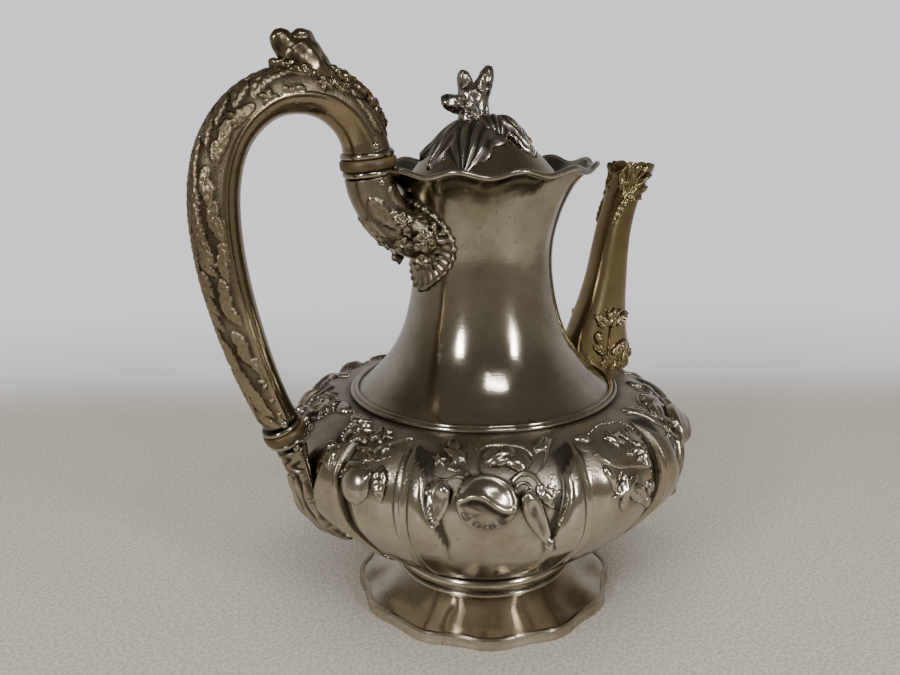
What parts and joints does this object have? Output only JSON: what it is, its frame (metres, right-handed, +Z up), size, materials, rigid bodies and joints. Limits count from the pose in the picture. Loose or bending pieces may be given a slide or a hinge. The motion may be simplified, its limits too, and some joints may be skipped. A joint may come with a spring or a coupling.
{
  "type": "coffee pot",
  "caption": "Lobed melon-bodied silver coffee pot with trumpet neck, hinged domed lid, insulated C handle, tall open spout and spreading foot, for brewing and pouring coffee.",
  "frame": {"origin": "centre of the foot at table level, on the pot's own axis", "axes": "+Z up, +X towards the spout, -X towards the handle"},
  "size_m": [0.2063, 0.1626, 0.2336],
  "materials": {
    "silver": "polished silver with warm grey tarnish",
    "gilt_tarnish": "silver with brown-gold tarnish",
    "dark_silver": "cast silver, dark in the recesses",
    "insulator_horn": "aged ivory-coloured horn, satin"
  },
  "bodies": {
    "pot": {"body_shell": "silver", "neck_wall": "silver", "neck_base_ring": "silver", "mouth_rim_wire": "silver", "foot_collar": "silver", "foot_skirt": "silver", "foot_edge_band": "silver", "spout_tube": "gilt_tarnish", "spout_mouth_shell": "gilt_tarnish", "spout_base_flower": "gilt_tarnish", "spout_base_leaf": "gilt_tarnish", "spout_strainer": "silver", "upper_handle_socket": "silver", "upper_socket_shell_plate": "silver", "upper_socket_flowers": "silver", "lower_handle_socket": "silver", "upper_socket_bead": "silver", "lower_socket_bead": "silver", "upper_insulator": "insulator_horn", "lower_insulator": "insulator_horn", "upper_handle_bead": "silver", "lower_handle_bead": "silver", "handle_pins": "silver", "handle_tube": "silver", "arch_leaf_strip": "silver", "thumbpiece": "silver", "neck_hinge_knuckles": "silver", "hinge_pin": "silver"},
    "lid": {"lid_dome": "silver", "lid_bezel": "silver", "lid_hinge_knuckle": "silver", "finial_branch": "dark_silver", "finial_leaves": "dark_silver", "finial_nut": "dark_silver"}
  },
  "joints": [
    {"name": "lid_hinge", "type": "hinge", "parent": "pot", "child": "lid", "pos_m": [-0.0331, 0, 0.1776], "axis": [0, -1, 0], "range_deg": [0, 55]}
  ]
}
